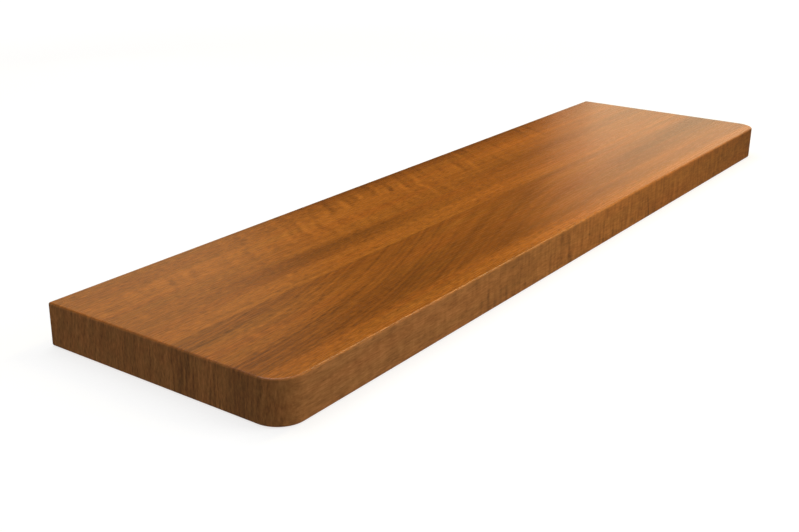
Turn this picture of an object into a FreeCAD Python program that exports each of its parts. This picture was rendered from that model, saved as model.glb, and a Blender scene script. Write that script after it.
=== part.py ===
"""Window sill board: one solid timber board, with rounded room-side corners and every edge eased.

Millimetres. The origin is at the middle of the underside: +X runs along the window, +Y points at the wall
and -Y at the room, and +Z is up. The outline is drawn once in plan, raised to the board's thickness, and
the edges are then rounded over as a router and sander leave them.
"""

import FreeCAD
import Part
import Sketcher

import math
import os
from enum import IntEnum

PARTS_FOLDER = "parts"
BOARD_LABEL = "sill_board"

# Driving dimensions: cell name, millimetres, meaning.
DIMENSIONS = (
    ("board_length", 1000.0, "along the window, end to end"),
    ("board_depth", 260.0, "from the wall edge to the room edge"),
    ("board_thickness", 40.0, "underside to top face"),
    ("corner_radius", 25.0, "plan radius of the two room-side corners"),
    ("edge_round", 2.0, "round-over of every edge, the wall-side arrises among them"),
)

QUARTER_TURN = math.pi / 2

# Millimetres within which two places count as the same one.
SAME_PLACE = 0.01


class Vertex(IntEnum):
    """Numbers by which constraints name the two ends of a line or arc."""

    START = 1
    END = 2


class Axis(IntEnum):
    """Numbers by which constraints name the sketch's own axes."""

    X = -1
    Y = -2


def make_sheet(doc):
    """Spreadsheet of the driving dimensions, one row each, whose alias other objects refer to."""
    sheet = doc.addObject("Spreadsheet::Sheet", "Dimensions")
    for row, (name, value, meaning) in enumerate(DIMENSIONS, start=1):
        sheet.set(f"A{row}", name)
        sheet.set(f"B{row}", str(value))
        sheet.set(f"C{row}", meaning)
        sheet.setAlias(f"B{row}", name)
    doc.recompute()
    return sheet


def origin_plane(body, role):
    """The body's own origin plane with that role, such as XY_Plane."""
    return next(feature for feature in body.Origin.OriginFeatures if feature.Role == role)


def bind(sketch, constraint, name, expression):
    """Adds a constraint to the sketch, names it and drives it from the sheet."""
    index = sketch.addConstraint(constraint)
    sketch.renameConstraint(index, name)
    sketch.setExpression(f"Constraints.{name}", expression)


def draw_outline(body, sheet):
    """Plan outline on the XY plane: square corners at the wall, round ones at the room side."""
    sketch = body.newObject("Sketcher::SketchObject", "Outline")
    sketch.AttachmentSupport = [(origin_plane(body, "XY_Plane"), "")]
    sketch.MapMode = "FlatFace"

    half_length = sheet.board_length / 2
    half_depth = sheet.board_depth / 2
    radius = sheet.corner_radius
    centre_x = half_length - radius
    centre_y = radius - half_depth
    normal = FreeCAD.Vector(0, 0, 1)

    def line(x1, y1, x2, y2):
        segment = Part.LineSegment(FreeCAD.Vector(x1, y1, 0), FreeCAD.Vector(x2, y2, 0))
        return sketch.addGeometry(segment, False)

    def corner(x, start_angle):
        circle = Part.Circle(FreeCAD.Vector(x, centre_y, 0), normal, radius)
        return sketch.addGeometry(Part.ArcOfCircle(circle, start_angle, start_angle + QUARTER_TURN), False)

    # The outline runs anticlockwise from the wall-side left corner.
    left_end = line(-half_length, half_depth, -half_length, centre_y)
    left_corner = corner(-centre_x, 2 * QUARTER_TURN)
    room_edge = line(-centre_x, -half_depth, centre_x, -half_depth)
    right_corner = corner(centre_x, 3 * QUARTER_TURN)
    right_end = line(half_length, centre_y, half_length, half_depth)
    wall_edge = line(half_length, half_depth, -half_length, half_depth)

    for before, after in (
        (left_end, left_corner),
        (left_corner, room_edge),
        (room_edge, right_corner),
        (right_corner, right_end),
    ):
        sketch.addConstraint(Sketcher.Constraint("Tangent", before, Vertex.END, after, Vertex.START))
    for before, after in ((right_end, wall_edge), (wall_edge, left_end)):
        sketch.addConstraint(Sketcher.Constraint("Coincident", before, Vertex.END, after, Vertex.START))
    for edge in (left_end, right_end):
        sketch.addConstraint(Sketcher.Constraint("Vertical", edge))
    sketch.addConstraint(Sketcher.Constraint("Horizontal", room_edge))
    sketch.addConstraint(Sketcher.Constraint("Equal", left_corner, right_corner))
    centred = Sketcher.Constraint("Symmetric", wall_edge, Vertex.START, wall_edge, Vertex.END, Axis.Y)
    sketch.addConstraint(centred)

    length = Sketcher.Constraint(
        "DistanceX", wall_edge, Vertex.END, wall_edge, Vertex.START, 2 * half_length
    )
    bind(sketch, length, "length", "Dimensions.board_length")
    depth = Sketcher.Constraint(
        "DistanceY", room_edge, Vertex.START, wall_edge, Vertex.END, 2 * half_depth
    )
    bind(sketch, depth, "depth", "Dimensions.board_depth")
    to_wall = Sketcher.Constraint(
        "DistanceY", Axis.X, Vertex.START, wall_edge, Vertex.END, half_depth
    )
    bind(sketch, to_wall, "origin_to_wall", "Dimensions.board_depth / 2")
    rounding = Sketcher.Constraint("Radius", left_corner, radius)
    bind(sketch, rounding, "corner", "Dimensions.corner_radius")
    return sketch


def raise_board(body, outline):
    """Pads the outline up from the underside to the top face."""
    pad = body.newObject("PartDesign::Pad", "Thickness")
    pad.Profile = outline
    pad.setExpression("Length", "Dimensions.board_thickness")
    outline.Visibility = False
    return pad


def sharp_edges(shape, sheet):
    """Names of the edges to ease: those round the top face and the underside, and the two upright ones at
    the wall. The upright seams where a rounded corner runs into a straight edge are smooth already."""
    wall_side = sheet.board_depth / 2 - SAME_PLACE
    names = []
    for number, edge in enumerate(shape.Edges, start=1):
        box = edge.BoundBox
        is_upright = box.ZLength > SAME_PLACE
        if not is_upright or box.YMin > wall_side:
            names.append(f"Edge{number}")
    return names


def ease_edges(doc, body, board, sheet):
    """Rounds the edges over in one pass, so that the round runs on along the curved corners and closes in a
    ball at the wall-side ones."""
    doc.recompute()
    fillet = body.newObject("PartDesign::Fillet", "EasedEdges")
    fillet.Base = (board, sharp_edges(board.Shape, sheet))
    fillet.setExpression("Radius", "Dimensions.edge_round")
    return fillet


def make_board(doc, sheet):
    """The whole board, one solid."""
    body = doc.addObject("PartDesign::Body", "SillBoard")
    body.Label = BOARD_LABEL
    outline = draw_outline(body, sheet)
    board = raise_board(body, outline)
    body.Tip = ease_edges(doc, body, board, sheet)
    body.Placement = FreeCAD.Placement()
    doc.recompute()
    return body


def check(doc, bodies):
    """Stops before anything is written if an object failed or a body isn't one sound solid."""
    for item in doc.Objects:
        if {"Invalid", "Error"} & set(item.State):
            raise RuntimeError(f"{item.Name} failed: {item.State}")
    for body in bodies:
        shape = body.Shape
        if shape.isNull() or not shape.isValid() or len(shape.Solids) != 1:
            raise RuntimeError(f"{body.Label} isn't one valid solid")


def main():
    doc = FreeCAD.newDocument("WindowSillBoard")
    sheet = make_sheet(doc)
    bodies = [make_board(doc, sheet)]
    check(doc, bodies)
    os.makedirs(PARTS_FOLDER, exist_ok=True)
    for body in bodies:
        body.Shape.exportStep(os.path.join(PARTS_FOLDER, f"{body.Label}.step"))


main()
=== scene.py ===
"""Finish of the window sill board: lacquered brown hardwood with strips, fanned growth lines and ripple.

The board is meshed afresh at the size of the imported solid, with exact normals on its eased edges. Its
timber is one solid texture in the board's own space, so that a strip on the top runs on down the ends.
Lengths are in metres, except inside the timber, which is measured in millimetres: along from the left
end, across from the wall edge, and up from the underside.
"""

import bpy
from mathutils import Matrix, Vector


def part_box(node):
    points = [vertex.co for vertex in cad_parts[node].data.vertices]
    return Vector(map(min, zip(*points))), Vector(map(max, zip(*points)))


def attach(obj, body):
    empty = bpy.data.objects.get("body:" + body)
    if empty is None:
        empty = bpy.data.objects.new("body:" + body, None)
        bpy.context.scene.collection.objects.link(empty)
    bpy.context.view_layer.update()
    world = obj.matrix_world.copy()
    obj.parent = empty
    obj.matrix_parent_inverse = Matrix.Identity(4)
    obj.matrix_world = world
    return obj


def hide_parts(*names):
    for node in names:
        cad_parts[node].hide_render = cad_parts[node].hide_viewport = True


bl_info = {
    "name": "Window Sill Board",
    "version": (1, 0, 0),
    "blender": (4, 5, 0),
    "location": "3D View > Sidebar > Sill Board",
    "description": "Finishes the sill board in lacquered brown hardwood and sets it on a plain stage",
    "category": "Object",
}

import math
from typing import NamedTuple

import bpy
import numpy as np
from bpy.props import FloatProperty, FloatVectorProperty, IntProperty, PointerProperty
from mathutils import Quaternion, Vector

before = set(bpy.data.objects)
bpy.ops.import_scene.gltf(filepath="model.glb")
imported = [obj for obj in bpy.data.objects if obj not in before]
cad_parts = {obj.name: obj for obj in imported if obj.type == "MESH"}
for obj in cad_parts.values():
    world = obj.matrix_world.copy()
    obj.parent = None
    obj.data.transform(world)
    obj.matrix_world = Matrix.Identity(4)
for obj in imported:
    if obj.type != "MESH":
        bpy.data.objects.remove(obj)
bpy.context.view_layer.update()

CAD_NODE = "sill_board"
BOARD_PIECE = "sill_board_finished"
BOARD_LOW, BOARD_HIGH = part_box(CAD_NODE)
BOARD_SIZE = BOARD_HIGH - BOARD_LOW

MILLIMETRES = 1000.0
TIMBER_LENGTH = BOARD_SIZE.x * MILLIMETRES
TIMBER_DEPTH = BOARD_SIZE.y * MILLIMETRES
QUARTER_TURN = math.pi / 2
FULL_TURN = 2 * math.pi

# Plan radius of the room-side corners, how far the floor's white runs in under the board, and the gap
# that keeps the floor clear of the underside.
CORNER_RADIUS = 0.025
FOOT_INSET = 0.003
FLOOR_GAP = 0.0005

# How far from the middle of the board the floor starts to rise to full white, and where it gets there.
FLOOR_WHITE_FROM = 1.0
FLOOR_WHITE_TO = 2.8

# Map that the timber is baked through, and where each side of the board lies on it: left, right,
# bottom and top.
BAKE_MAP = "OFBake"
BAKE_AREAS = {
    "top": (0.005, 0.995, 0.520, 0.995),
    "underside": (0.005, 0.995, 0.310, 0.510),
    "room": (0.005, 0.995, 0.210, 0.300),
    "wall": (0.005, 0.995, 0.110, 0.200),
    "left": (0.005, 0.495, 0.010, 0.100),
    "right": (0.505, 0.995, 0.010, 0.100),
}

# Strips from the wall edge to the room edge: place across the board, and brightness beside plain brown.
STRIPS = (
    (0.0, 0.90),
    (10.0, 0.95),
    (26.0, 1.00),
    (44.0, 1.14),
    (65.0, 1.03),
    (91.0, 0.98),
    (109.0, 0.93),
    (117.0, 0.95),
    (124.0, 1.03),
    (131.0, 1.06),
    (144.0, 1.05),
    (146.0, 0.78),
    (156.0, 0.79),
    (168.0, 0.83),
    (182.0, 0.87),
    (195.0, 0.84),
    (208.0, 0.76),
    (229.0, 0.70),
    (236.0, 0.80),
    (241.0, 0.95),
    (250.0, 1.00),
    (260.0, 1.00),
)

# Brightness at which the wood takes each of its three colours, and the whole span of brightness, of
# which colour ramps hold a share.
DARK_TONE = 0.4
BROWN_TONE = 1.0
GOLD_TONE = 1.4
TONE_SPAN = 2.0

# Brightness that the strips draw towards on the ends, and how much of the way they go.
END_TONE = 0.92
END_EVENNESS = 0.35


class Fade(NamedTuple):
    """A smooth change of a value: where it starts and ends, and the results before and after."""

    start: float
    end: float
    before: float = 0.0
    after: float = 1.0


class Lumps(NamedTuple):
    """A layer of noise: the size of its lumps along, across and up, its seed, detail and roughness."""

    cell: tuple
    seed: float
    detail: float = 2.0
    roughness: float = 0.5


# How a layer's seed moves its noise along, across and up.
SEED_SHIFT = (1.0, 1.7, -1.0)

# How far a surface has to face up or down to be a face, and along the board to be an end.
FACE_TURN = Fade(0.3, 0.8)
END_TURN = Fade(0.2, 0.8)

# Fibres: how far they fray the grain sideways, and what they add to brightness and roughness.
FIBRES = Lumps((30.0, 1.4, 1.6), 29.2, roughness=0.6)
FIBRE_FRAY = 1.3
FIBRE_TONE = 0.16
FIBRE_GLOSS = 0.03

# Pores: where their noise opens into one, and what they add to brightness and roughness.
PORES = Lumps((8.0, 0.6, 0.7), 37.7, detail=1.0)
PORE_OPENS = Fade(0.22, 0.50)
PORE_TONE = -0.14
PORE_GLOSS = 0.08

# Relief under the lacquer: strength, height in metres, and the shares of the fibres and the pores.
RELIEF_STRENGTH = 0.2
RELIEF_HEIGHT = 0.0001
RELIEF_FIBRES = 0.5
RELIEF_PORES = -1.0

# Flecks: their tone on the edges, in straight grain and along slanted grain, and how they thin out
# towards the right end.
FLECKS = Lumps((9.0, 1.2, 1.2), 33.4, roughness=0.6)
FLECK_EDGES = 0.50
FLECK_STRAIGHT = 0.85
FLECK_SLANTED = Fade(120.0, 280.0, 0.80, 0.40)
FLECK_THINNING = Fade(450.0, 800.0, 1.0, 0.45)

# Blotches: their tone on the edges, and along the faces.
BLOTCHES = Lumps((16.0, 7.0, 8.0), 39.9)
BLOTCH_EDGES = 0.32
BLOTCH_FACES = Fade(300.0, 650.0, 0.18, 0.06)

# Slow clouds of brightness, slow changes of hue, and the sideways wander of the grain.
CLOUDS = Lumps((140.0, 30.0, 50.0), 23.5)
CLOUD_TONE = 0.10
HUES = Lumps((170.0, 10.0, 14.0), 71.3)
HUE_CHANGE = (-0.045, 0.08, 0.11)
WANDER = Lumps((320.0, 90.0, 120.0), 3.1)
WANDER_REACH = 1.6

# Growth lines: broad ones, then fine ones with their tone in straight and along slanted grain.
BROAD_LINES = Lumps((420.0, 8.0, 90.0), 11.3)
BROAD_TONE = Fade(450.0, 750.0, 0.19, 0.34)
FINE_LINES = Lumps((200.0, 3.8, 60.0), 17.9)
FINE_STRAIGHT = 0.14
FINE_SLANTED = Fade(120.0, 300.0, 0.42, 0.29)

# Even growth lines in the left part of the slanted zone, and how far, in radians, noise shifts them.
EVEN_PITCH = 4.4
EVEN_TONE = Fade(260.0, 500.0, 0.09, 0.0)
EVEN_SHIFT = Lumps((220.0, 16.0, 60.0), 19.4)
EVEN_SHIFT_REACH = 5.0

# The zone of slanted growth lines: its two sides, how its fan of lines bends along the board until it
# runs straight again, and how far the lines have climbed by then at its wall side and its room side.
SLANTED_FROM = 145.0
SLANTED_TO = 236.0
FAN_BEND = Fade(0.0, 600.0)
FAN_CLIMB_WALL = 128.0
FAN_CLIMB_ROOM = 98.0

# Ripple: its pitch, lean and tone, how far in radians noise shifts its waves, and where they break off.
RIPPLE_PITCH = 34.0
RIPPLE_LEAN = 0.6
RIPPLE_TONE = 0.22
RIPPLE_SHIFT = Lumps((110.0, 60.0, 40.0), 43.1)
RIPPLE_SHIFT_REACH = 3.4
RIPPLE_PATCHES = Lumps((60.0, 36.0, 24.0), 51.7)
RIPPLE_BREAK = Fade(-0.25, 0.30)

# A second, quicker wave in the ripple: its rate beside the first, its start in radians and its share.
SECOND_WAVE_RATE = 2.3
SECOND_WAVE_START = 1.3
SECOND_WAVE_SHARE = 0.7

# The room edge, as told from the top by its place across, and the tone of the fine hatching on it.
ROOM_EDGE_BAND = Fade(TIMBER_DEPTH - 2.5, TIMBER_DEPTH - 0.5)
HATCHING = Lumps((4.5, 60.0, 26.0), 57.3)
HATCH_TONE = Fade(150.0, 500.0, 0.14, 0.52)

# End grain: upright growth lines, which lean towards the room as they rise, and open pores.
END_LINES = Lumps((400.0, 3.4, 30.0), 61.3, roughness=0.6)
END_LINE_TONE = 0.50
END_LEAN = 0.16
END_PORES = Lumps((9.0, 1.4, 5.0), 67.9)
END_PORE_TONE = 0.60

# Painted shade on the arris lines: darker up from the foot of the edges, and on the faces out from the
# wall and to the right end.
FOOT_PAINTED_SHADE = Fade(0.0, 3.0, -0.25, 0.0)
WALL_PAINTED_SHADE = Fade(0.0, 2.6, -0.30, 0.0)
RIGHT_END_PAINTED_SHADE = Fade(TIMBER_LENGTH - 7.0, TIMBER_LENGTH, 0.0, -0.50)

# How the cast of the long edges' left part, partly a painted grey sheen of reflection, dies away along
# them.
NEAR_EDGE_CAST_AND_SHEEN = Fade(0.0, 700.0, 1.0, 0.0)


class Streak(NamedTuple):
    """A long mark in the timber.

    It has two ends, a middle line and its slope, a half width, and what it adds to the brightness.
    """

    start: float
    end: float
    middle: float
    slope: float
    half_width: float
    tone: float


# Streaks along the grain, measured along and across, and how far they taper off at their ends.
STREAK_TAPER = 80.0
DARK_STREAKS = (
    Streak(150.0, 370.0, 106.0, 0.0, 20.0, -0.26),
    Streak(230.0, 370.0, 98.0, 0.0, 9.0, -0.08),
    Streak(60.0, 200.0, 106.0, 0.0, 18.0, -0.06),
    Streak(560.0, 780.0, 84.0, 0.0, 26.0, -0.14),
    Streak(300.0, 850.0, 4.0, 0.0, 24.0, -0.24),
    Streak(640.0, 840.0, 14.0, 0.02, 16.0, -0.08),
    Streak(390.0, 660.0, 60.0, 0.0, 90.0, -0.09),
    Streak(700.0, 1200.0, 133.0, 0.0, 12.0, -0.08),
    Streak(920.0, 1500.0, 130.0, 0.0, 600.0, -0.12),
    Streak(-60.0, 120.0, 157.0, 0.0, 12.0, -0.02),
    Streak(140.0, 430.0, 206.0, -0.02, 45.0, -0.12),
    Streak(720.0, 1150.0, 192.0, -0.01, 26.0, -0.20),
)
GOLDEN_STREAKS = (
    Streak(690.0, 1200.0, 50.0, 0.0, 40.0, 0.04),
    Streak(700.0, 1200.0, 109.0, 0.0, 18.0, 0.12),
    Streak(420.0, 640.0, 130.0, -0.01, 13.0, 0.14),
    Streak(-120.0, 110.0, 192.0, -0.02, 26.0, 0.14),
    Streak(150.0, 290.0, 252.5, 0.0, 7.5, 0.12),
    Streak(370.0, 1200.0, 254.0, 0.0, 15.0, 0.26),
    Streak(540.0, 800.0, 250.0, 0.0, 14.0, 0.12),
    Streak(480.0, 1200.0, 222.0, 0.0, 26.0, 0.28),
    Streak(580.0, 1200.0, 158.0, 0.0, 46.0, 0.18),
)
# Painted light and shade on the room edge: lighter towards the left end and darker further right, where
# the light falls off along it.
ROOM_EDGE_PAINTED_LIGHT_AND_SHADE = (
    Streak(60.0, 300.0, 263.0, 0.0, 6.0, 0.10),
    Streak(300.0, 700.0, 263.0, 0.0, 6.0, -0.28),
    Streak(620.0, 900.0, 263.0, 0.0, 6.0, -0.22),
)

# Dark wedges and light lines where single growth lines of the fan cross the slanted zone.
FAN_TAPER = 30.0
FAN_STREAKS = (
    Streak(130.0, 222.0, 192.0, -0.22, 11.0, -0.05),
    Streak(205.0, 275.0, 205.0, -0.22, 11.0, -0.06),
    Streak(262.0, 345.0, 226.0, -0.24, 13.0, -0.07),
    Streak(335.0, 420.0, 245.0, -0.25, 13.0, -0.07),
    Streak(330.0, 470.0, 268.0, -0.215, 12.0, -0.12),
    Streak(380.0, 560.0, 283.0, -0.215, 14.0, -0.14),
    Streak(-30.0, 60.0, 178.0, -0.03, 5.0, 0.12),
    Streak(100.0, 185.0, 187.0, -0.125, 4.0, 0.12),
    Streak(125.0, 230.0, 224.0, -0.218, 4.0, 0.12),
    Streak(325.0, 420.0, 248.4, -0.228, 4.0, 0.14),
    Streak(325.0, 410.0, 290.0, -0.30, 4.0, 0.12),
)

# Where the ripple shows, towards the wall. Here the tone is the strength of the ripple.
RIPPLE_ZONES = (
    Streak(60.0, 320.0, 44.0, 0.0, 70.0, 0.5),
    Streak(300.0, 660.0, 34.0, 0.0, 84.0, 1.0),
    Streak(660.0, 860.0, 20.0, 0.0, 50.0, 0.6),
)

# Ripple bars that stand on the room edge, measured up and along.
BAR_TAPER = 5.0
RIPPLE_BARS = (
    Streak(-9.0, 20.0, 276.0, 0.0, 4.0, -0.20),
    Streak(-9.0, 21.0, 288.0, 0.0, 4.0, -0.26),
    Streak(-9.0, 20.0, 300.0, 0.0, 4.0, -0.24),
    Streak(-9.0, 19.0, 311.0, 0.0, 3.5, -0.18),
    Streak(-9.0, 18.0, 321.0, 0.0, 4.0, -0.20),
    Streak(-9.0, 18.0, 333.0, 0.0, 4.0, -0.15),
    Streak(-9.0, 17.0, 346.0, 0.0, 4.0, -0.12),
    Streak(4.0, 36.0, 428.0, 0.05, 4.5, -0.18),
    Streak(2.0, 34.0, 450.0, -0.20, 4.5, -0.24),
    Streak(10.0, 26.0, 616.0, 0.0, 2.5, -0.20),
    Streak(10.0, 26.0, 625.0, 0.0, 2.5, -0.20),
    Streak(10.0, 24.0, 631.0, 0.0, 2.0, -0.16),
    Streak(-9.0, 28.0, 646.0, -0.28, 3.5, -0.40),
    Streak(-9.0, 50.0, 661.0, 0.0, 1.8, -0.22),
    Streak(-9.0, 50.0, 683.0, 0.0, 1.8, -0.22),
)


class Softbox(NamedTuple):
    """A rectangular soft light: where it hangs and what it faces, then its size, brightness and colour.

    It may be rolled about its own axis, in degrees, and the lacquer may be kept from mirroring it.
    """

    name: str
    location: tuple
    target: tuple
    size: tuple
    strength: float
    colour: tuple
    roll: float = 0.0
    mirrored: bool = True


SOFTBOXES = (
    Softbox(
        name="ceiling_softbox",
        location=(0.0, 0.5, 1.75),
        target=(0.0, 0.0, 0.0),
        size=(1.8, 0.9),
        strength=2.43,
        colour=(1.0, 1.0, 0.98),
    ),
    Softbox(
        name="front_softbox",
        location=(0.2, -1.0, 0.47),
        target=(-0.76, -0.62, 0.22),
        size=(0.8, 0.75),
        strength=4.6,
        colour=(1.0, 0.98, 0.94),
        mirrored=False,
    ),
    Softbox(
        name="far_softbox",
        location=(1.95, 0.065, 0.33),
        target=(0.2, -0.02, 0.27),
        size=(1.45, 0.57),
        strength=1.58,
        colour=(1.0, 0.76, 0.485),
    ),
    Softbox(
        name="warm_softbox",
        location=(1.95, 0.86, 0.33),
        target=(0.2, 0.79, 0.27),
        size=(0.14, 0.57),
        strength=0.9,
        colour=(1.0, 0.70, 0.44),
    ),
    Softbox(
        name="near_softbox",
        location=(0.352, 1.118, 0.584),
        target=(-0.258, -0.072, 0.364),
        size=(0.725, 0.77),
        strength=0.43,
        colour=(0.92, 1.0, 0.74),
        roll=34.0,
    ),
    Softbox(
        name="edge_softbox",
        location=(1.024, -0.226, 1.256),
        target=(-0.25, -0.13, 0.04),
        size=(0.28, 0.90),
        strength=12.0,
        colour=(1.0, 0.82, 0.42),
    ),
)

# Studio air from the horizon to overhead: upward share of the direction, and grey.
STUDIO_AIR = (
    (0.0, 0.22),
    (0.04, 0.22),
    (0.15, 0.006),
    (0.60, 0.006),
    (0.80, 0.9),
)


class BoardShape(bpy.types.PropertyGroup):
    """Sizes of the board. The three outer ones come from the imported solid."""

    length: FloatProperty(
        name="Length",
        description="End to end, along the window",
        default=BOARD_SIZE.x,
        unit="LENGTH",
    )
    depth: FloatProperty(
        name="Depth",
        description="Wall edge to room edge",
        default=BOARD_SIZE.y,
        unit="LENGTH",
    )
    thickness: FloatProperty(
        name="Thickness",
        description="Underside to top face",
        default=BOARD_SIZE.z,
        unit="LENGTH",
    )
    corner_radius: FloatProperty(
        name="Corner radius",
        description="Plan radius of the room-side corners",
        default=CORNER_RADIUS,
        unit="LENGTH",
    )
    edge_round: FloatProperty(
        name="Edge round",
        description="Round-over of every edge",
        default=0.002,
        unit="LENGTH",
    )
    cell: FloatProperty(
        name="Cell",
        description="Mesh spacing on the flat faces",
        default=0.006,
        unit="LENGTH",
    )
    corner_steps: IntProperty(
        name="Corner steps",
        description="Facets round a room-side corner",
        default=18,
    )
    round_steps: IntProperty(
        name="Round steps",
        description="Facets over an eased edge",
        default=8,
    )


class TimberFinish(bpy.types.PropertyGroup):
    """Colours and gloss of the lacquered timber."""

    dark: FloatVectorProperty(
        name="Dark wood",
        description="Darkest growth lines",
        default=(0.131, 0.0408, 0.0042),
        subtype="COLOR",
    )
    brown: FloatVectorProperty(
        name="Brown wood",
        description="Plain wood of the board",
        default=(0.328, 0.1023, 0.0106),
        subtype="COLOR",
    )
    gold: FloatVectorProperty(
        name="Golden wood",
        description="Lightest strips",
        default=(0.460, 0.1480, 0.0170),
        subtype="COLOR",
    )
    # The casts of the edges and ends are partly the wood's own greyer colour and partly a painted grey
    # sheen in place of the lacquer's reflection.
    edge_tint_and_sheen: FloatVectorProperty(
        name="Edge tint",
        description="Cast of the long edges",
        default=(1.0, 1.10, 1.64),
        subtype="XYZ",
    )
    near_edge_tint_and_sheen: FloatVectorProperty(
        name="Near edge tint",
        description="Cast of the long edges at their left end",
        default=(1.07, 1.38, 3.60),
        subtype="XYZ",
    )
    end_tint_and_sheen: FloatVectorProperty(
        name="End tint",
        description="Greyer cast of the ends",
        default=(1.27, 1.63, 4.25),
        subtype="XYZ",
    )
    roughness: FloatProperty(
        name="Roughness",
        description="Gloss of the satin lacquer on the faces",
        default=0.27,
        subtype="FACTOR",
    )
    edge_roughness: FloatProperty(
        name="Edge roughness",
        description="Gloss of the edges and ends",
        default=0.95,
        subtype="FACTOR",
    )
    specular: FloatProperty(
        name="Specular",
        description="Strength of the lacquer's reflection",
        default=0.3,
        subtype="FACTOR",
    )


class StudioStage(bpy.types.PropertyGroup):
    """Camera, lights and floor."""

    camera_location: FloatVectorProperty(
        name="Camera",
        description="Where the camera stands",
        default=(-1.05071, -0.61625, 0.40545),
        subtype="XYZ",
    )
    camera_turn: FloatVectorProperty(
        name="Camera turn",
        description="Rotation of the camera about X, Y and Z, in degrees",
        default=(69.1403, -0.2286, -53.3672),
    )
    camera_lens: FloatProperty(
        name="Lens",
        description="Focal length in millimetres",
        default=51.2125,
    )
    camera_shift: FloatVectorProperty(
        name="Shift",
        description="Off-centre framing of the picture",
        default=(0.03755, 0.00876),
        size=2,
    )
    light_level: FloatProperty(
        name="Light level",
        description="Brightness of all the soft lights",
        default=1.0,
    )
    floor_reach: FloatProperty(
        name="Floor",
        description="Half width of the floor",
        default=40.0,
        unit="LENGTH",
    )
    floor_colour: FloatProperty(
        name="Floor colour",
        description="Share of the light that the floor gives back",
        default=0.3,
        subtype="FACTOR",
    )
    floor_glow: FloatProperty(
        name="Floor glow",
        description="White that the floor shows near the board",
        default=0.74,
        subtype="FACTOR",
    )
    floor_bounce: FloatProperty(
        name="Floor bounce",
        description="Light that the floor throws on the board",
        default=0.26,
        subtype="FACTOR",
    )
    under_light: FloatProperty(
        name="Under light",
        description="Light on the underside, seen from below",
        default=0.9,
        subtype="FACTOR",
    )


def grey(level):
    """A colour with its three parts alike."""
    return (level, level, level)


class NodeSheet:
    """Adds nodes to one node tree, each by a short call that returns the node's output."""

    def __init__(self, tree):
        self.tree = tree
        tree.nodes.clear()

    def node(self, kind, **settings):
        """A new node with its settings."""
        made = self.tree.nodes.new(kind)
        for name, value in settings.items():
            setattr(made, name, value)
        return made

    def feed(self, socket, value):
        """Links an output to the socket, or sets a plain value on it."""
        if isinstance(value, bpy.types.NodeSocket):
            self.tree.links.new(value, socket)
        else:
            socket.default_value = value

    def apply(self, kind, *values, **settings):
        """A new node whose inputs are fed in order."""
        made = self.node(kind, **settings)
        for socket, value in zip(made.inputs, values):
            self.feed(socket, value)
        return made.outputs[0]

    def math(self, operation, *values):
        return self.apply("ShaderNodeMath", *values, operation=operation)

    def vector_math(self, operation, *values):
        return self.apply("ShaderNodeVectorMath", *values, operation=operation)

    def join(self, x, y, z):
        return self.apply("ShaderNodeCombineXYZ", x, y, z)

    def split(self, vector):
        made = self.node("ShaderNodeSeparateXYZ")
        self.feed(made.inputs[0], vector)
        return made.outputs[0], made.outputs[1], made.outputs[2]

    def length(self, vector):
        made = self.node("ShaderNodeVectorMath", operation="LENGTH")
        self.feed(made.inputs[0], vector)
        return made.outputs["Value"]

    def total(self, first, *others):
        """Sum of all the parts."""
        for part in others:
            first = self.math("ADD", first, part)
        return first

    def fade(self, value, change):
        """A value taken smoothly through a Fade, which may hold outputs as well as numbers."""
        made = self.node("ShaderNodeMapRange", interpolation_type="SMOOTHSTEP")
        self.feed(made.inputs["Value"], value)
        for name, given in zip(("From Min", "From Max", "To Min", "To Max"), change):
            self.feed(made.inputs[name], given)
        return made.outputs["Result"]

    def blend(self, low, high, share):
        """Plain mix of two numbers: all low at share 0, all high at share 1."""
        return self.math("MULTIPLY_ADD", share, self.math("SUBTRACT", high, low), low)

    def tinted(self, colour, change, share):
        """A colour with a share of a change added."""
        return self.vector_math("MULTIPLY_ADD", self.join(share, share, share), change, colour)

    def noise(self, place, lumps):
        """Noise between -1 and 1."""
        scale = [1.0 / side for side in lumps.cell]
        offset = [shift * lumps.seed for shift in SEED_SHIFT]
        made = self.node("ShaderNodeTexNoise")
        self.feed(made.inputs["Vector"], self.vector_math("MULTIPLY_ADD", place, scale, offset))
        self.feed(made.inputs["Scale"], 1.0)
        self.feed(made.inputs["Detail"], lumps.detail)
        self.feed(made.inputs["Roughness"], lumps.roughness)
        return self.math("MULTIPLY_ADD", made.outputs[0], 2.0, -1.0)

    def layer(self, place, lumps, reach):
        """Noise that reaches so far to either side of 0."""
        return self.math("MULTIPLY", self.noise(place, lumps), reach)

    def ramp(self, factor, stops):
        """Colour ramp with stops of place and colour."""
        made = self.node("ShaderNodeValToRGB")
        elements = made.color_ramp.elements
        while len(elements) < len(stops):
            elements.new(1.0)
        for element, (place, colour) in zip(elements, stops):
            element.position = place
            element.color = (*colour, 1.0)
        self.feed(made.inputs[0], factor)
        return made.outputs[0]

    def emission(self, strength):
        """White light."""
        made = self.node("ShaderNodeEmission")
        self.feed(made.inputs["Strength"], strength)
        return made.outputs[0]

    def show(self, output_kind, shader):
        """Ends the sheet with its output node."""
        self.feed(self.node(output_kind).inputs["Surface"], shader)


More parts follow.
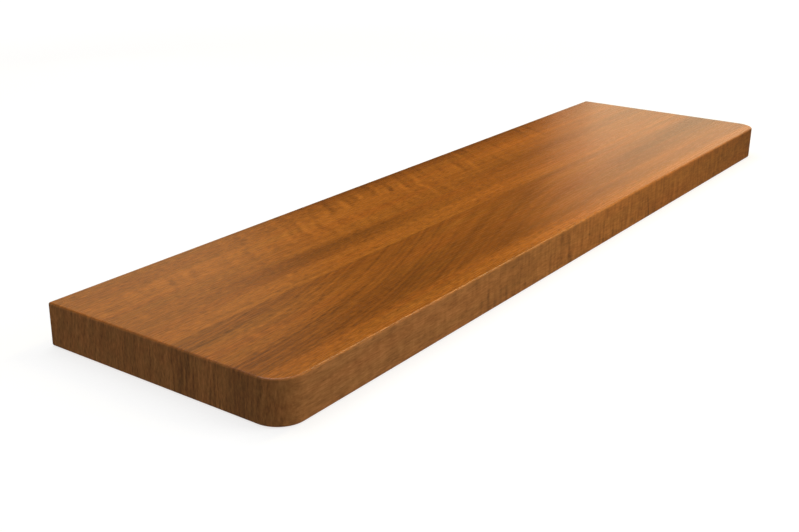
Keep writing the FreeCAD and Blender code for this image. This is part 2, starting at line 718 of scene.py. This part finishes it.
class TimberSheet(NodeSheet):
    """Node sheet of the timber. Each part of the figure returns what it adds to the brightness."""

    def __init__(self, tree):
        super().__init__(tree)
        texture = self.node("ShaderNodeTexCoord")
        corner = Vector((-BOARD_LOW.x, BOARD_HIGH.y, -BOARD_LOW.z)) * MILLIMETRES
        scale = (MILLIMETRES, -MILLIMETRES, MILLIMETRES)
        self.place = self.vector_math("MULTIPLY_ADD", texture.outputs["Object"], scale, corner)
        self.along, self.across, self.up = self.split(self.place)

        facing_along, _, facing_up = self.split(texture.outputs["Normal"])
        self.on_face = self.fade(self.math("ABSOLUTE", facing_up), FACE_TURN)
        self.on_edge = self.math("SUBTRACT", 1.0, self.on_face)
        self.on_end = self.fade(self.math("ABSOLUTE", facing_along), END_TURN)

        # Grain wanders a little from side to side and frays into its fibres.
        self.fibres = self.noise(self.place, FIBRES)
        self.pores = self.fade(self.noise(self.place, PORES), PORE_OPENS)
        self.wander = self.layer(self.place, WANDER, WANDER_REACH)
        fray = self.math("MULTIPLY", self.fibres, FIBRE_FRAY)
        self.grain = self.total(self.across, self.wander, fray)
        past_start = self.math("GREATER_THAN", self.grain, SLANTED_FROM)
        before_end = self.math("LESS_THAN", self.grain, SLANTED_TO)
        self.slanted = self.math("MULTIPLY", past_start, before_end)
        self.streak_group = make_streak_group()

    def streaks(self, along, across, taper, streaks):
        """All the streaks of one table together."""
        parts = []
        for streak in streaks:
            made = self.node("ShaderNodeGroup", node_tree=self.streak_group)
            given = {"along": along, "across": across, "taper": taper, **streak._asdict()}
            for name, value in given.items():
                self.feed(made.inputs[name], value)
            parts.append(made.outputs["tone"])
        return self.total(*parts)

    def strips(self):
        """Strips that run the length of the board and through its thickness, with their streaks and the
        painted light and shade along the room edge.
        """
        stops = [(at / TIMBER_DEPTH, grey(tone / TONE_SPAN)) for at, tone in STRIPS]
        ramp = self.ramp(self.math("DIVIDE", self.grain, TIMBER_DEPTH), stops)
        strips = self.math("MULTIPLY", ramp, TONE_SPAN)
        evened = self.blend(strips, END_TONE, self.math("MULTIPLY", self.on_end, END_EVENNESS))
        marks = DARK_STREAKS + GOLDEN_STREAKS + ROOM_EDGE_PAINTED_LIGHT_AND_SHADE
        return self.total(evened, self.streaks(self.along, self.grain, STREAK_TAPER, marks))

    def growth_lines(self):
        """Growth lines: straight over most of the board, fanned out in the slanted zone."""
        zone_width = SLANTED_TO - SLANTED_FROM
        into_zone = self.math("DIVIDE", self.math("SUBTRACT", self.grain, SLANTED_FROM), zone_width)
        climb = self.blend(FAN_CLIMB_WALL, FAN_CLIMB_ROOM, into_zone)
        bend = self.math("MULTIPLY", self.fade(self.along, FAN_BEND), climb)
        ring = self.total(self.across, self.wander, self.math("MULTIPLY", bend, self.slanted))
        ring_place = self.join(self.along, ring, self.up)

        broad = self.layer(ring_place, BROAD_LINES, self.fade(self.along, BROAD_TONE))
        fine_slanted = self.fade(self.along, FINE_SLANTED)
        fine_tone = self.blend(FINE_STRAIGHT, fine_slanted, self.slanted)
        fine = self.layer(ring_place, FINE_LINES, fine_tone)

        shift = self.layer(ring_place, EVEN_SHIFT, EVEN_SHIFT_REACH)
        phase = self.math("MULTIPLY_ADD", ring, FULL_TURN / EVEN_PITCH, shift)
        even = self.math("MULTIPLY", self.math("SINE", phase), self.fade(self.along, EVEN_TONE))
        single = self.streaks(self.along, self.grain, FAN_TAPER, FAN_STREAKS)
        in_zone = self.math("MULTIPLY", self.total(single, even), self.slanted)
        return self.total(broad, fine, in_zone)

    def ripple(self):
        """Ripple that crosses the grain at a slant, towards the wall."""
        shift = self.layer(self.place, RIPPLE_SHIFT, RIPPLE_SHIFT_REACH)
        leaning = self.math("MULTIPLY_ADD", self.across, RIPPLE_LEAN, self.along)
        phase = self.math("MULTIPLY_ADD", leaning, FULL_TURN / RIPPLE_PITCH, shift)
        second_phase = self.math("MULTIPLY_ADD", phase, SECOND_WAVE_RATE, SECOND_WAVE_START)
        second_wave = self.math("MULTIPLY", self.math("SINE", second_phase), SECOND_WAVE_SHARE)
        both_waves = self.total(self.math("SINE", phase), second_wave)
        patches = self.fade(self.noise(self.place, RIPPLE_PATCHES), RIPPLE_BREAK)
        waves = self.math("MULTIPLY", both_waves, patches)
        zones = self.streaks(self.along, self.across, STREAK_TAPER, RIPPLE_ZONES)
        return self.math("MULTIPLY", self.math("MULTIPLY", waves, zones), RIPPLE_TONE)

    def room_edge_bars(self):
        """Upright ripple bars and fine hatching on the room edge."""
        bars = self.streaks(self.up, self.along, BAR_TAPER, RIPPLE_BARS)
        hatching = self.layer(self.place, HATCHING, self.fade(self.along, HATCH_TONE))
        room_edge = self.fade(self.across, ROOM_EDGE_BAND)
        return self.math("MULTIPLY", self.total(bars, hatching), room_edge)

    def long_grain(self):
        """Fibres, flecks, blotches, pores and ripple of the faces and the long edges."""
        fleck_slanted = self.fade(self.along, FLECK_SLANTED)
        fleck_tone = self.blend(FLECK_STRAIGHT, fleck_slanted, self.slanted)
        fleck_faces = self.math("MULTIPLY", fleck_tone, self.fade(self.along, FLECK_THINNING))
        blotch_faces = self.fade(self.along, BLOTCH_FACES)
        return self.total(
            self.math("MULTIPLY", self.fibres, FIBRE_TONE),
            self.layer(self.place, FLECKS, self.blend(FLECK_EDGES, fleck_faces, self.on_face)),
            self.layer(self.place, BLOTCHES, self.blend(BLOTCH_EDGES, blotch_faces, self.on_face)),
            self.math("MULTIPLY", self.pores, PORE_TONE),
            self.ripple(),
            self.room_edge_bars(),
        )

    def end_grain(self):
        """Upright growth lines and open pores of the ends."""
        ring = self.math("MULTIPLY_ADD", self.up, -END_LEAN, self.across)
        ring_place = self.join(self.along, ring, self.up)
        return self.total(
            self.layer(ring_place, END_LINES, END_LINE_TONE),
            self.layer(self.place, END_PORES, END_PORE_TONE),
        )

    def painted_arris_shade(self):
        """Painted shade on the arris lines: darker along the foot of the board, and at the wall and the
        right end of its faces.
        """
        foot = self.math("MULTIPLY", self.fade(self.up, FOOT_PAINTED_SHADE), self.on_edge)
        wall = self.fade(self.across, WALL_PAINTED_SHADE)
        right_end = self.fade(self.along, RIGHT_END_PAINTED_SHADE)
        on_faces = self.math("MULTIPLY", self.math("ADD", wall, right_end), self.on_face)
        return self.math("ADD", foot, on_faces)

    def brightness(self):
        """Brightness of the wood beside plain brown, with painted light and shade along the room edge and
        painted shade on the arris lines.
        """
        strips = self.strips()
        grain = self.blend(self.long_grain(), self.end_grain(), self.on_end)
        clouds = self.layer(self.place, CLOUDS, CLOUD_TONE)
        figure = self.total(self.growth_lines(), grain, clouds)
        return self.total(strips, self.math("MULTIPLY", figure, strips), self.painted_arris_shade())

    def tint(self, finish):
        """Colour cast of the long edges and the ends, partly their own greyer wood and partly a painted
        grey sheen of reflection, and slow changes from redder to yellower wood.
        """
        plain = Vector((1.0, 1.0, 1.0))
        ends = self.math("MULTIPLY", self.on_edge, self.on_end)
        long_edges = self.math("SUBTRACT", self.on_edge, ends)
        near_edges = self.math("MULTIPLY", long_edges, self.fade(self.along, NEAR_EDGE_CAST_AND_SHEEN))
        near_change = Vector(finish.near_edge_tint_and_sheen) - Vector(finish.edge_tint_and_sheen)
        cast = self.tinted(plain, Vector(finish.end_tint_and_sheen) - plain, ends)
        cast = self.tinted(cast, Vector(finish.edge_tint_and_sheen) - plain, long_edges)
        cast = self.tinted(cast, near_change, near_edges)
        hue = self.tinted(plain, HUE_CHANGE, self.noise(self.place, HUES))
        return self.vector_math("MULTIPLY", cast, hue)

    def gloss(self, finish):
        """Roughness of the lacquer, with a little from the fibres and pores under it."""
        return self.total(
            self.blend(finish.edge_roughness, finish.roughness, self.on_face),
            self.math("MULTIPLY", self.fibres, FIBRE_GLOSS),
            self.math("MULTIPLY", self.pores, PORE_GLOSS),
        )

    def relief(self):
        """Slight relief of raised fibres and sunk pores, away from the ends."""
        made = self.node("ShaderNodeBump")
        made.inputs["Strength"].default_value = RELIEF_STRENGTH
        made.inputs["Distance"].default_value = RELIEF_HEIGHT
        sunk = self.math("MULTIPLY", self.pores, RELIEF_PORES)
        height = self.math("MULTIPLY_ADD", self.fibres, RELIEF_FIBRES, sunk)
        self.feed(made.inputs["Height"], self.blend(height, 0.0, self.on_end))
        return made.outputs[0]


def new_material(name, sheet_kind=NodeSheet):
    """A new material and its emptied node sheet."""
    material = bpy.data.materials.new(name)
    material.use_nodes = True
    return material, sheet_kind(material.node_tree)


class Row(NamedTuple):
    """A row of the flat top's grid: its place, half length and outward normal at its right end."""

    y: float
    half_length: float
    out_x: float
    out_y: float


class Station(NamedTuple):
    """A place on the rim of the flat top: its grid row and column, and the outward normal there."""

    row: int
    column: int
    out_x: float
    out_y: float


class Ring(NamedTuple):
    """A ring of points round the edge: how far its normals point out and up, and its height."""

    out: float
    up: float
    height: float


def board_rows(shape):
    """Rows from the wall edge to the room edge. The last ones follow the round corners."""
    half_length = shape.length / 2 - shape.edge_round
    half_depth = shape.depth / 2 - shape.edge_round
    radius = shape.corner_radius - shape.edge_round
    straight = math.ceil((2 * half_depth - radius) / shape.cell)
    rows = []
    for y in np.linspace(half_depth, radius - half_depth, straight, endpoint=False):
        rows.append(Row(y, half_length, 1.0, 0.0))
    for angle in np.linspace(0.0, QUARTER_TURN, shape.corner_steps + 1):
        side = math.cos(angle)
        out = math.sin(angle)
        y = radius - half_depth - radius * out
        rows.append(Row(y, half_length - radius + radius * side, side, -out))
    return rows


def board_stations(rows, columns, round_steps):
    """Stations in four runs round the rim of the flat top, clockwise from above.

    A wall-side corner is one grid point with a fan of normals, which closes the round-over in a ball.
    """
    last_row = len(rows) - 1
    corner_row = next(index for index, row in enumerate(rows) if row.out_y < 0) - 1
    right_arc = range(corner_row + 1, last_row + 1)
    left_arc = range(last_row - 1, corner_row - 1, -1)
    fan = np.linspace(0.0, QUARTER_TURN, round_steps + 1)
    wall = [Station(0, column, 0.0, 1.0) for column in range(columns + 1)]
    right = [Station(0, columns, math.sin(angle), math.cos(angle)) for angle in fan[1:]]
    right += [Station(row, columns, 1.0, 0.0) for row in range(1, corner_row + 1)]
    room = [Station(row, columns, rows[row].out_x, rows[row].out_y) for row in right_arc]
    room += [Station(last_row, column, 0.0, -1.0) for column in range(columns - 1, -1, -1)]
    room += [Station(row, 0, -rows[row].out_x, rows[row].out_y) for row in left_arc]
    left = [Station(row, 0, -1.0, 0.0) for row in range(corner_row - 1, -1, -1)]
    left += [Station(0, 0, -math.cos(angle), math.sin(angle)) for angle in fan[1:-1]]
    return {"wall": wall, "right": right, "room": room, "left": left}


def side_profile(shape):
    """Rings down the edge, from below the top grid to above the bottom one."""
    eased = shape.edge_round
    upper = shape.thickness - eased
    angles = np.linspace(0.0, QUARTER_TURN, shape.round_steps + 1)
    walls = math.ceil((upper - eased) / shape.cell)
    rings = [Ring(math.sin(a), math.cos(a), upper + eased * math.cos(a)) for a in angles[1:]]
    rings += [Ring(1.0, 0.0, z) for z in np.linspace(upper, eased, walls + 1)[1:-1]]
    rings += [Ring(math.sin(a), -math.cos(a), eased - eased * math.cos(a)) for a in angles[:0:-1]]
    return rings


def length_shares(points):
    """How far along a line of points each one lies, from 0 to 1."""
    gaps = np.linalg.norm(np.diff(np.array(points), axis=0), axis=1)
    return np.concatenate(([0.0], np.cumsum(gaps))) / gaps.sum()


def on_map(area, across, up):
    """Place on the bake map, from shares of an area's width and height."""
    left, right, bottom, top = BAKE_AREAS[area]
    return left + (right - left) * across, bottom + (top - bottom) * up


class BoardMesh:
    """Points, normals, faces and bake-map places of the whole board, as it is put together."""

    def __init__(self, shape):
        self.shape = shape
        self.rows = board_rows(shape)
        self.columns = math.ceil(shape.length / shape.cell)
        self.points = []
        self.normals = []
        self.faces = []
        self.map_places = []

    def grid(self, row, column, below):
        """Number of a point of the top grid, or of the one below it on the underside."""
        width = self.columns + 1
        return below * len(self.rows) * width + row * width + column

    def rim(self, stations, below):
        """Point numbers round the rim of the top grid or of the one below."""
        return [self.grid(at.row, at.column, below) for at in stations]

    def add_face(self, corners, places):
        """A face whose repeated corners, as at a ball corner, count once."""
        found = dict(zip(corners, places))
        self.faces.append(tuple(found))
        self.map_places += found.values()

    def add_cap_face(self, area, corners):
        """A face of the flat top or underside, laid flat on the bake map."""
        places = []
        for number in corners:
            x, y, _ = self.points[number]
            places.append(on_map(area, x / self.shape.length + 0.5, y / self.shape.depth + 0.5))
        self.add_face(corners, places)

    def add_caps(self):
        """The flat top and underside, as two grids."""
        spread = np.linspace(-1.0, 1.0, self.columns + 1)
        for z, up in ((self.shape.thickness, 1.0), (0.0, -1.0)):
            for row in self.rows:
                self.points += [(row.half_length * share, row.y, z) for share in spread]
                self.normals += [(0.0, 0.0, up)] * len(spread)
        for row in range(len(self.rows) - 1):
            for column in range(self.columns):
                square = ((row + 1, column), (row + 1, column + 1), (row, column + 1), (row, column))
                self.add_cap_face("top", [self.grid(*at, below=False) for at in square])
                self.add_cap_face("underside", [self.grid(*at, below=True) for at in reversed(square)])

    def add_rings(self, stations):
        """Rings of points round the edge. Returns a loop of point numbers for each ring and rim."""
        top_rim = self.rim(stations, below=False)
        loops = [top_rim]
        for ring in side_profile(self.shape):
            first = len(self.points)
            reach = self.shape.edge_round * ring.out
            for at, number in zip(stations, top_rim):
                x, y, _ = self.points[number]
                self.points.append((x + reach * at.out_x, y + reach * at.out_y, ring.height))
                self.normals.append((ring.out * at.out_x, ring.out * at.out_y, ring.up))
            loops.append(list(range(first, len(self.points))))
        loops.append(self.rim(stations, below=True))
        return loops

    def add_sides(self):
        """The four edges with their round-overs, between the rims of the two caps."""
        runs = board_stations(self.rows, self.columns, self.shape.round_steps)
        stations = [station for run in runs.values() for station in run]
        loops = self.add_rings(stations)
        widest = [self.points[number] for number in loops[len(loops) // 2]]
        heights = 1.0 - length_shares([self.points[loop[0]] for loop in loops])
        start = 0
        for area, run in runs.items():
            round_edge = [(start + step) % len(stations) for step in range(len(run) + 1)]
            shares = length_shares([widest[station] for station in round_edge])
            for level in range(len(loops) - 1):
                upper, lower = loops[level : level + 2]
                high, low = heights[level : level + 2]
                for step, (here, there) in enumerate(zip(round_edge, round_edge[1:])):
                    corners = (upper[here], upper[there], lower[there], lower[here])
                    places = (
                        on_map(area, shares[step], high),
                        on_map(area, shares[step + 1], high),
                        on_map(area, shares[step + 1], low),
                        on_map(area, shares[step], low),
                    )
                    self.add_face(corners, places)
            start += len(run)

    def finished(self, name):
        """The mesh, with exact normals and its bake map."""
        mesh = bpy.data.meshes.new(name)
        mesh.from_pydata(self.points, [], self.faces)
        mesh.shade_smooth()
        mesh.normals_split_custom_set_from_vertices(self.normals)
        bake_map = mesh.uv_layers.new(name=BAKE_MAP)
        bake_map.uv.foreach_set("vector", np.array(self.map_places, np.float32).ravel())
        mesh.validate()
        return mesh


def make_board_mesh(shape):
    """Mesh of the whole board: grids above and below, joined by rings round the edge."""
    board = BoardMesh(shape)
    board.add_caps()
    board.add_sides()
    return board.finished(BOARD_PIECE)


def make_streak_group():
    """Node group that gives one streak's share of the brightness at a place in the timber."""
    tree = bpy.data.node_groups.new("grain_streak", "ShaderNodeTree")
    sheet = NodeSheet(tree)
    for name in ("along", "across", "taper", *Streak._fields):
        tree.interface.new_socket(name, in_out="INPUT", socket_type="NodeSocketFloat")
    tree.interface.new_socket("tone", in_out="OUTPUT", socket_type="NodeSocketFloat")
    given = sheet.node("NodeGroupInput").outputs
    line = sheet.math("MULTIPLY_ADD", given["along"], given["slope"], given["middle"])
    distance = sheet.math("ABSOLUTE", sheet.math("SUBTRACT", given["across"], line))
    body = sheet.fade(distance, Fade(0.0, given["half_width"], 1.0, 0.0))
    before = sheet.math("SUBTRACT", given["along"], given["start"])
    after = sheet.math("SUBTRACT", given["end"], given["along"])
    tapers_in = sheet.math("DIVIDE", sheet.math("MINIMUM", before, after), given["taper"])
    inside = sheet.fade(tapers_in, Fade(-1.0, 1.0))
    tone = sheet.math("MULTIPLY", sheet.math("MULTIPLY", body, inside), given["tone"])
    sheet.feed(sheet.node("NodeGroupOutput").inputs["tone"], tone)
    return tree


def make_timber(finish):
    """Lacquered hardwood: wood colours by brightness, then the tint with its painted sheen, the gloss and
    the relief.
    """
    material, sheet = new_material("lacquered_brown_hardwood", TimberSheet)
    woods = ((DARK_TONE, finish.dark), (BROWN_TONE, finish.brown), (GOLD_TONE, finish.gold))
    stops = [(tone / TONE_SPAN, colour) for tone, colour in woods]
    wood = sheet.ramp(sheet.math("DIVIDE", sheet.brightness(), TONE_SPAN), stops)
    surface = sheet.node("ShaderNodeBsdfPrincipled")
    surface.inputs["Specular IOR Level"].default_value = finish.specular
    sheet.feed(surface.inputs["Base Color"], sheet.vector_math("MULTIPLY", wood, sheet.tint(finish)))
    sheet.feed(surface.inputs["Roughness"], sheet.gloss(finish))
    sheet.feed(surface.inputs["Normal"], sheet.relief())
    sheet.show("ShaderNodeOutputMaterial", surface.outputs[0])
    return material


def make_floor_material(stage):
    """Pale floor: white with the board's shadow, plain light under the board, and unseen from below."""
    material, sheet = new_material("pale_floor")
    here = sheet.node("ShaderNodeNewGeometry").outputs

    # Distance outside a block between the corners' centres, so high that the floor's height doesn't count.
    inner = (BOARD_HIGH.x - CORNER_RADIUS, BOARD_HIGH.y - CORNER_RADIUS, 1.0)
    past_inner = sheet.vector_math("SUBTRACT", sheet.vector_math("ABSOLUTE", here["Position"]), inner)
    out_of_inner = sheet.length(sheet.vector_math("MAXIMUM", past_inner, (0.0, 0.0, 0.0)))
    open_floor = sheet.math("GREATER_THAN", out_of_inner, CORNER_RADIUS)
    white_floor = sheet.math("GREATER_THAN", out_of_inner, CORNER_RADIUS - FOOT_INSET)

    rise = Fade(FLOOR_WHITE_FROM, FLOOR_WHITE_TO, stage.floor_glow, 1.0)
    white = sheet.fade(sheet.length(here["Position"]), rise)
    glow = sheet.emission(sheet.math("MULTIPLY", white, white_floor))
    matt = sheet.node("ShaderNodeBsdfDiffuse")
    matt.inputs["Color"].default_value = (*grey(stage.floor_colour), 1.0)
    pale = sheet.apply("ShaderNodeAddShader", matt.outputs[0], glow)
    bounce = sheet.emission(sheet.blend(stage.under_light, stage.floor_bounce, open_floor))

    rays = sheet.node("ShaderNodeLightPath").outputs
    shown = sheet.math("MAXIMUM", rays["Is Camera Ray"], rays["Is Glossy Ray"])
    shown = sheet.math("MAXIMUM", shown, rays["Is Transmission Ray"])
    above = sheet.apply("ShaderNodeMixShader", shown, bounce, pale)
    below = sheet.apply("ShaderNodeBsdfTransparent")
    floor = sheet.apply("ShaderNodeMixShader", here["Backfacing"], above, below)
    sheet.show("ShaderNodeOutputMaterial", floor)
    return material


def make_floor(stage):
    """Flat floor just under the board."""
    reach = stage.floor_reach
    corners = [(-reach, -reach, 0.0), (reach, -reach, 0.0), (reach, reach, 0.0), (-reach, reach, 0.0)]
    mesh = bpy.data.meshes.new("floor")
    mesh.from_pydata(corners, [], [(0, 1, 2, 3)])
    mesh.materials.append(make_floor_material(stage))
    floor = bpy.data.objects.new("floor", mesh)
    floor.location.z = BOARD_LOW.z - FLOOR_GAP
    bpy.context.scene.collection.objects.link(floor)


def make_softbox(softbox, level):
    """Area light for one softbox, out of the camera's sight."""
    width, height = softbox.size
    light = bpy.data.lights.new(softbox.name, "AREA")
    light.shape = "RECTANGLE"
    light.size = width
    light.size_y = height
    light.energy = level * softbox.strength * width * height * math.pi
    light.color = softbox.colour
    lamp = bpy.data.objects.new(softbox.name, light)
    lamp.location = softbox.location
    facing = Vector(softbox.target) - Vector(softbox.location)
    roll = Quaternion((0.0, 0.0, 1.0), math.radians(softbox.roll))
    lamp.rotation_euler = (facing.to_track_quat("-Z", "Y") @ roll).to_euler()
    lamp.visible_camera = False
    lamp.visible_glossy = softbox.mirrored
    bpy.context.scene.collection.objects.link(lamp)


def make_world():
    """Dim studio air with a pale rim at the horizon and a soft bright ceiling."""
    world = bpy.data.worlds.new("studio_air")
    world.use_nodes = True
    sheet = NodeSheet(world.node_tree)
    _, _, height = sheet.split(sheet.node("ShaderNodeTexCoord").outputs["Generated"])
    stops = [(place, grey(level)) for place, level in STUDIO_AIR]
    air = sheet.apply("ShaderNodeBackground", sheet.ramp(height, stops))
    sheet.show("ShaderNodeOutputWorld", air)
    bpy.context.scene.world = world


def make_camera(stage):
    """Camera at the photograph's viewing angle."""
    lens = bpy.data.cameras.new("camera")
    lens.lens = stage.camera_lens
    lens.shift_x, lens.shift_y = stage.camera_shift
    camera = bpy.data.objects.new("camera", lens)
    camera.location = stage.camera_location
    camera.rotation_euler = [math.radians(angle) for angle in stage.camera_turn]
    bpy.context.scene.collection.objects.link(camera)
    bpy.context.scene.camera = camera


class SILL_OT_board(bpy.types.Operator):
    """Make the finished board in place of the plain solid"""

    bl_idname = "sill.board"
    bl_label = "Sill Board"

    def execute(self, context):
        mesh = make_board_mesh(context.scene.sill_shape)
        mesh.materials.append(make_timber(context.scene.sill_finish))
        board = bpy.data.objects.new(BOARD_PIECE, mesh)
        context.scene.collection.objects.link(board)
        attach(board, "root")
        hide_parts(CAD_NODE)
        return {"FINISHED"}


class SILL_OT_stage(bpy.types.Operator):
    """Set the floor, the soft lights and the camera"""

    bl_idname = "sill.stage"
    bl_label = "Stage"

    def execute(self, context):
        stage = context.scene.sill_stage
        context.scene.view_settings.view_transform = "Standard"
        make_floor(stage)
        make_world()
        for softbox in SOFTBOXES:
            make_softbox(softbox, stage.light_level)
        make_camera(stage)
        return {"FINISHED"}


class SILL_PT_panel(bpy.types.Panel):
    """Sidebar list of the steps"""

    bl_label = "Sill Board"
    bl_space_type = "VIEW_3D"
    bl_region_type = "UI"
    bl_category = "Sill Board"

    def draw(self, context):
        for step in (SILL_OT_board, SILL_OT_stage):
            self.layout.operator(step.bl_idname)


CLASSES = (BoardShape, TimberFinish, StudioStage, SILL_OT_board, SILL_OT_stage, SILL_PT_panel)


def register():
    for each in CLASSES:
        bpy.utils.register_class(each)
    bpy.types.Scene.sill_shape = PointerProperty(type=BoardShape)
    bpy.types.Scene.sill_finish = PointerProperty(type=TimberFinish)
    bpy.types.Scene.sill_stage = PointerProperty(type=StudioStage)


def unregister():
    del bpy.types.Scene.sill_stage
    del bpy.types.Scene.sill_finish
    del bpy.types.Scene.sill_shape
    for each in reversed(CLASSES):
        bpy.utils.unregister_class(each)


def main():
    register()
    bpy.ops.sill.board()
    bpy.ops.sill.stage()


if __name__ == "__main__":
    main()
